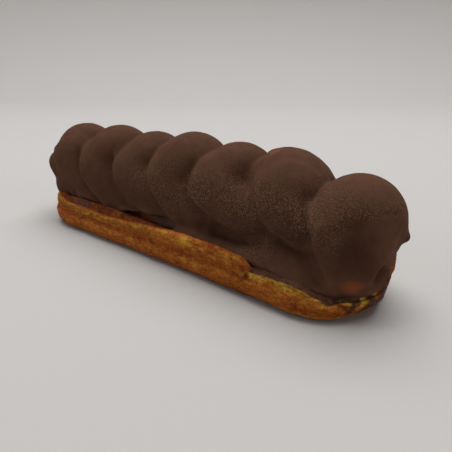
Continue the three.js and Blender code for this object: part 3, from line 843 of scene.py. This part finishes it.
def crust_relief(points, at):
    """How far the baked surface stands off the smooth form, and the masks its colours share."""
    shape = points.shape[:2]

    def grain(along, over, seed, layers=2):
        places = drawn_out(at["arc"], at["across"], along, over)
        return layered_noise(places, 1, seed, layers).reshape(shape)

    def lumps(size, seed, layers=2):
        return layered_noise(points.reshape(-1, 3), size, seed, layers).reshape(shape)

    arc, height, x, knot = at["arc"], at["height"], at["x"], at["knot"]
    on_side = window(knot, *SIDE_KNOTS)
    rough_ridge = smoothstep(x, *ROUGH_FROM) * (1 - at["past"]) * smoothstep(height, *ROUGH_HEIGHTS)
    low_crest = at["past"] * band(knot, *LOW_CREST) * (1 - smoothstep(arc, *LOW_CREST_END))
    streaks = grain(6, 1.1, 31, 3)
    blotches = lumps(3.4, 41, 3)
    fine = grain(2.4, 0.5, 51, 2)
    pits = np.clip(grain(1.6, 0.55, 61, 1) - 0.25, 0, 1)

    ragged = 1 + 0.4 * blotches
    smears = {name: np.clip(trail(arc, height, knots) * ragged, 0, 1) for name, knots in SMEARS.items()}
    relief = 0.3 * grain(20, 5, 71) + 0.16 * blotches + 0.1 * streaks + 0.04 * fine
    relief += band(arc, *FAR_CORNER) * (0.3 + band(knot, *FAR_CORNER_BULGE))
    relief += rough_ridge * (0.22 * lumps(2.6, 81, 3) + 0.1 * grain(4, 0.7, 82))
    relief -= low_crest * 0.35 * pits
    relief += sum(out * spot(arc, height, *place) for out, *place in CRUST_BULGES)
    relief += 0.22 * band(height, *FOOT_ROLL) * smoothstep(arc, *FOOT_ROLL_START) * (arc < 0)
    relief += sum(out * smears[name] for name, out in SMEAR_RELIEF.items())
    relief *= on_side
    under = 1 - smoothstep(knot, 0, 1.2)
    relief -= under * 0.35 * np.abs(lumps(3.2, 91, 3))
    return relief, dict(streaks=streaks, blotches=blotches, fine=fine, pits=pits, under=under,
                        low_crest=low_crest, rough_ridge=rough_ridge, **smears)


# How brown the crust is baked, from pale to dark, and its colour there
BAKE_ACROSS = dict(
    smooth=[0.85, 0.62, 0.52, 0.43, 0.42, 0.62, 0.5, 0.38, 0.3, 0.4, 0.55, 0.6, 0.7],
    rough=[0.85, 0.62, 0.5, 0.45, 0.46, 0.6, 0.48, 0.42, 0.42, 0.46, 0.5, 0.6, 0.7],
    dipped=[0.85, 0.5, 0.5, 0.5, 0.44, 0.34, 0.22, 0.16, 0.4, 0.66, 0.8, 0.8, 0.8],
)
BAKE_SHARES = [0, 0.18, 0.36, 0.55, 0.75, 1.0]
BAKE_COLOURS = [
    (0.46, 0.265, 0.046), (0.38, 0.162, 0.022), (0.335, 0.108, 0.017), (0.29, 0.075, 0.014),
    (0.21, 0.05, 0.0115), (0.1, 0.025, 0.0085),
]
# Patches baked more or less: how much, the arc and height, and the reach along and across
BAKE_SPOTS = [
    (-0.36, -71.2, 10.8, 1.8, 1.2), (-0.3, -66.8, 4.6, 1.6, 1.2), (-0.22, -49.5, 8.3, 2.8, 0.8),
    (0.45, -46.3, 7.6, 1, 0.9), (0.2, -27.5, 4, 4.5, 1.2), (-0.25, -20.2, 5.2, 3, 0.9),
    (-0.5, -5, 7.7, 1.5, 1), (0.5, -158, 11.5, 5, 1.6),
]
# Streaks between the smears near the tip: how much, and arcs, heights and half widths
BAKE_TRAILS = [
    (-0.45, [(-17.2, 7, 0.5), (-14.8, 6.3, 0.6)]), (0.4, [(-17.4, 6.2, 0.7), (-15.6, 4.9, 0.6)]),
    (-0.36, [(-10.6, 6.7, 0.9), (-9.9, 6, 0.9), (-10.6, 5, 0.6)]),
]
# Stretches of the outline where the colour changes: the arcs where each fades in and out
STRETCHES = dict(
    far_crest=((-150, -140), (-92, -80)), gap=((-114, -106), (-90, -84)),
    baked_ledge=((-108, -102), (-84, -76)), foot_rim_highlight=((-40, -32), (-12, -6)),
    tip=((-7, -2), (20, 34)), behind_dome=((-1, 4), (24, 40)),
)
GOLDEN = (0.47, 0.18, 0.018)
GOLDEN_SPOT = (-71.3, 10.9, 2, 1.3)
BAKED_DARK = (0.17, 0.075, 0.033)
STAIN = (0.062, 0.031, 0.0215)
LEDGE_STAIN = [(-136, 9.6, 0.5), (-128, 9.8, 0.6), (-123, 10, 0.3)]  # arcs, knots and half widths


def on_stretch(arc, name):
    """1 on a stretch of the outline, 0 off it."""
    return window(arc, *STRETCHES[name])


def crust_bake(at, mask):
    """How brown every point of the crust is baked, with painted highlights and painted shade in it."""
    arc, height, x, knot, past = at["arc"], at["height"], at["x"], at["knot"], at["past"]
    ridged = 1 - past
    far = 1 - smoothstep(x, 12, 17)
    across = {name: np.interp(knot, range(len(shares)), shares) for name, shares in BAKE_ACROSS.items()}
    bake = lerp(lerp(across["rough"], across["smooth"], far), across["dipped"], past)
    bake += 0.16 * mask["streaks"] + 0.18 * mask["blotches"] + 0.1 * mask["fine"]
    bake += sum(more * spot(arc, height, *place) for more, *place in BAKE_SPOTS)
    bake += sum(more * trail(arc, height, knots) for more, knots in BAKE_TRAILS)

    # The ridge: a pale line along its crest, a painted highlight, and blotches where it is rough
    bake -= 0.2 * ridged * far * band(knot, 8.5, 0.3)
    bake += 0.14 * mask["rough_ridge"] * mask["blotches"]
    # The edge below the missing ridge: dark in its pits, and browner towards the tip
    bake += mask["low_crest"] * (0.9 * mask["pits"] - 0.05)
    bake += 0.2 * past * smoothstep(arc, -24, -20) * band(knot, 6, 1.2)
    bake += 0.2 * past * smoothstep(arc, -22, -18) * smoothstep(knot, 7.6, 8.6)
    # The foot: darker just above the underside as painted shade, with a painted highlight on the near roll
    bake += 0.25 * (1 - smoothstep(height, 0.3, 2.0)) * (knot < 6)
    bake -= 0.3 * band(height, 1.6, 0.6) * on_stretch(arc, "foot_rim_highlight")
    # The two ends
    bake += 0.36 * on_stretch(arc, "tip") * (1 - mask["blotches"])
    bake += 0.08 * smoothstep(-arc, 130, 140)
    # The ledge under the topping
    on_ledge = smoothstep(knot, 8.9, 9.7) * (arc < 0)
    bake += on_ledge * ridged * (0.12 + 0.25 * (1 - smoothstep(arc, -90, -74)))
    bake += 0.1 * on_ledge * on_stretch(arc, "baked_ledge")
    return bake + 0.1 * mask["under"]


def crust_stain(at, mask):
    """How much chocolate has stained every point of the crust."""
    arc, knot, past = at["arc"], at["knot"], at["past"]
    edge = lerp(6.8, 5.8, smoothstep(arc, -29, -22))
    stain = np.maximum.reduce([
        *(mask[name] for name in SMEARS),
        1.15 * past * smoothstep(knot, edge, edge + 1.0) * (arc < -14),
        1.0 * past * smoothstep(knot, 9.0, 9.8),
        0.9 * smoothstep(knot, 9.8, 10.4) * band(arc, -130, 4),
        0.6 * trail(arc, knot, LEDGE_STAIN),
    ])
    ragged = 0.175 * mask["blotches"] + 0.1 * mask["streaks"]
    return smoothstep(stain + ragged, 0.35, 0.85)


def crust_paint(at, mask):
    """The colour of every point of the crust, and how much chocolate has stained it."""
    arc, height, knot, past = at["arc"], at["height"], at["knot"], at["past"]
    ridged = 1 - past
    bake = crust_bake(at, mask)
    paint = np.stack([np.interp(bake, BAKE_SHARES, shares) for shares in zip(*BAKE_COLOURS)], axis=-1)

    # Darker crests: the far half of the ridge, the edge below the missing ridge and the ridge's nose
    far_crest = 0.36 * ridged * band(knot, 8.0, 1.6) * on_stretch(arc, "far_crest")
    low_crest = lerp(0.24, 0.12, smoothstep(arc, -32, -24)) * past * band(knot, 7, 1.6)
    nose = 0.18 * ridged * smoothstep(arc, -56, -50) * (arc < -40)
    paint *= ((1 - far_crest) * (1 - low_crest - nose))[..., None]

    paint = lerp(paint, np.array(BAKED_DARK), 0.5 * on_stretch(arc, "behind_dome")[..., None])
    at_gap = on_stretch(arc, "gap")
    # Painted shade darkens the ledge in the gap, and its inner strip gets the gap's painted-light lining
    paint *= (1 - 0.5 * at_gap * smoothstep(knot, 10.0, 10.8))[..., None]
    paint = lerp(paint, np.array(LIT_GAP_LINING), (at_gap * smoothstep(knot, 11, 11.3))[..., None])

    paint = lerp(paint, np.array(GOLDEN), 0.8 * spot(arc, height, *GOLDEN_SPOT)[..., None])
    stain = crust_stain(at, mask)
    return lerp(paint, np.array(STAIN), 0.9 * stain[..., None]), stain


def crust():
    points, at = crust_frame()
    relief, mask = crust_relief(points, at)
    places = points + relief[..., None] * grid_normals(points)
    places[..., 2] = np.maximum(places[..., 2], 0)
    paint, stain = crust_paint(at, mask)
    rows = places.shape[1]
    i, j = np.meshgrid(np.arange(STEPS_AROUND), np.arange(rows - 1), indexing="ij")
    near, far = i * rows + j, (i + 1) % STEPS_AROUND * rows + j
    faces = [np.stack([near, far, far + 1, near + 1], axis=-1).reshape(-1, 4)]
    k = np.arange(STEPS_AROUND // 2 - 1)
    ring = np.stack([k, k + 1, STEPS_AROUND - 2 - k, STEPS_AROUND - 1 - k], axis=-1) * rows
    faces += [ring[:, ::-1], ring + rows - 1]
    piece = mesh_piece("choux_crust", places.reshape(-1, 3), np.vstack(faces), choux_material())
    give(piece, "paint", paint.reshape(-1, 3))
    give(piece, "grain", drawn_out(at["arc"], at["across"], 2, 1))
    give(piece, "stain", stain.ravel())
    return piece


# The stage, in metres: a floor that turns up into a backdrop. It lies along the direction from its
# front edge to where it turns up.
BACKDROP = dict(direction=(-0.62, 0.785, 0), front=-2, turn=0.43, radius=0.16, top=0.6, half_width=3)
BACKDROP_STEPS = 17
WORLD = (1, 0.98, 0.96)
WORLD_STRENGTH = 0.072
# Name, place, size and power of each light
AREA_LIGHTS = [
    ("overhead", (-0.14, 0.26, 1.0), 1.15, 16.6),
    ("left_fill", (-0.56, -0.5, 0.2), 0.5, 2.0),
    ("right_fill", (1.3, 0.3, 0.25), 0.8, 5),
]
# Where the camera stands round its target, in degrees and in the pastry's own millimetres
CAMERA = dict(azimuth=38.36, elevation=22.13, roll=0.35, distance=153.74, target=(16.03, -3.07, 12.6))
SENSOR = 36
FOCAL_LENGTH = 35.96
CLIP_START = 0.005


def stage():
    """A pale floor that curves up into a backdrop far behind the eclair."""
    turn, radius, half_width = BACKDROP["turn"], BACKDROP["radius"], BACKDROP["half_width"]
    rows = [(BACKDROP["front"], 0)]
    for angle in np.linspace(0, math.pi / 2, BACKDROP_STEPS):
        rows.append((turn + radius * math.sin(angle), radius - radius * math.cos(angle)))
    rows.append((turn + radius, BACKDROP["top"]))
    away = Vector(BACKDROP["direction"]).normalized()
    across = Vector((away.y, -away.x, 0)) * half_width
    points = [away * y + across * side + Vector((0, 0, z)) for y, z in rows for side in (-1, 1)]
    faces = [(2 * i, 2 * i + 1, 2 * i + 3, 2 * i + 2) for i in range(len(rows) - 1)]
    mesh = bpy.data.meshes.new("floor")
    mesh.from_pydata(points, [], faces)
    mesh.polygons.foreach_set("use_smooth", [True] * len(faces))
    mesh.materials.append(floor_material())
    floor = bpy.data.objects.new("floor", mesh)
    bpy.context.scene.collection.objects.link(floor)


def area_light(name, place, size, power):
    """A square light that faces the eclair."""
    lamp = bpy.data.lights.new(name, "AREA")
    lamp.energy = power
    lamp.size = size
    light = bpy.data.objects.new(name, lamp)
    light.location = place
    light.rotation_mode = "QUATERNION"
    light.rotation_quaternion = (-light.location).to_track_quat("-Z", "Y")
    bpy.context.scene.collection.objects.link(light)


def lights():
    bpy.context.scene.view_settings.view_transform = "Standard"
    world = bpy.data.worlds.new("studio")
    world.use_nodes = True
    background = world.node_tree.nodes["Background"]
    background.inputs["Color"].default_value = (*WORLD, 1)
    background.inputs["Strength"].default_value = WORLD_STRENGTH
    bpy.context.scene.world = world
    for light in AREA_LIGHTS:
        area_light(*light)


def camera():
    azimuth, elevation, roll = (math.radians(CAMERA[name]) for name in ("azimuth", "elevation", "roll"))
    target = Vector(CAMERA["target"]) * MM + Vector((MIDDLE_X, 0, 0))
    level = math.cos(elevation)
    back = Vector((math.sin(azimuth) * level, -math.cos(azimuth) * level, math.sin(elevation)))
    lens = bpy.data.cameras.new("camera")
    lens.sensor_width = SENSOR
    lens.lens = FOCAL_LENGTH
    lens.clip_start = CLIP_START
    view = bpy.data.objects.new("camera", lens)
    view.location = target + back * CAMERA["distance"] * MM
    view.rotation_mode = "QUATERNION"
    view.rotation_quaternion = (-back).to_track_quat("-Z", "Y") @ Quaternion((0, 0, 1), roll)
    bpy.context.scene.collection.objects.link(view)
    bpy.context.scene.camera = view


coat = topping()
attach(coat, "root")
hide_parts("piped_topping")
pastry = crust()
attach(pastry, "root")
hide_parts("choux_base")
stage()
lights()
camera()
